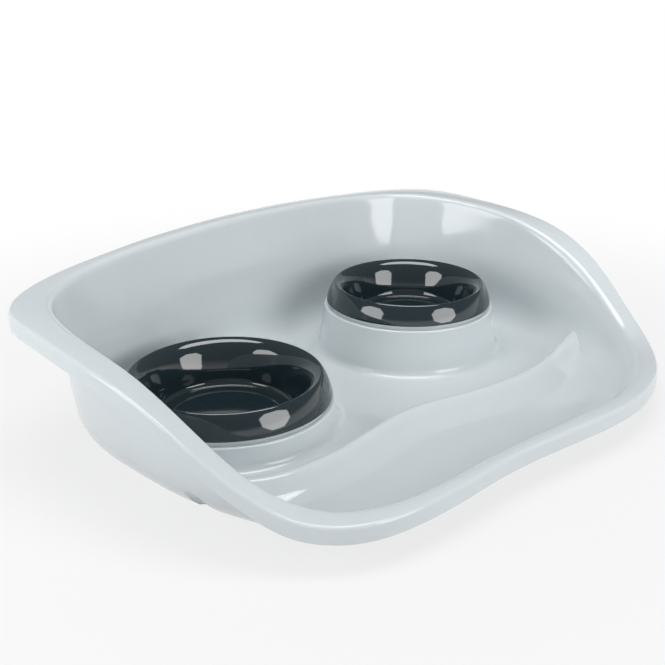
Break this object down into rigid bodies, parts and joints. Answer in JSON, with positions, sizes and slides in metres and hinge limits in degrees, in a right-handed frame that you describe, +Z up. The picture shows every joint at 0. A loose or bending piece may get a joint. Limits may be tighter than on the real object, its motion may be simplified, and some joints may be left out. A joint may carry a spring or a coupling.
{
  "type": "double pet bowl",
  "caption": "Pet feeding tray with a high splash wall, low front, wave-shaped ridge and round pedestals that hold lift-out bowls.",
  "frame": {"origin": "on the table, under the middle of the tray's outline", "axes": "+X to the tray's right as the animal sees it, +Y towards the high back wall, +Z up"},
  "size_m": [0.434, 0.315, 0.104],
  "materials": {
    "tray": "glossy light grey moulded plastic",
    "bowl": "glossy anthracite moulded plastic"
  },
  "bodies": {
    "tray": {"tray": "tray"},
    "bowl_left": {"bowl_left": "bowl"},
    "bowl_right": {"bowl_right": "bowl"}
  },
  "joints": [
    {"name": "bowl_left_lift", "type": "slide", "parent": "tray", "child": "bowl_left", "axis": [0, 0, 1], "range_m": [0, 0.12]},
    {"name": "bowl_right_lift", "type": "slide", "parent": "tray", "child": "bowl_right", "axis": [0, 0, 1], "range_m": [0, 0.12]}
  ]
}
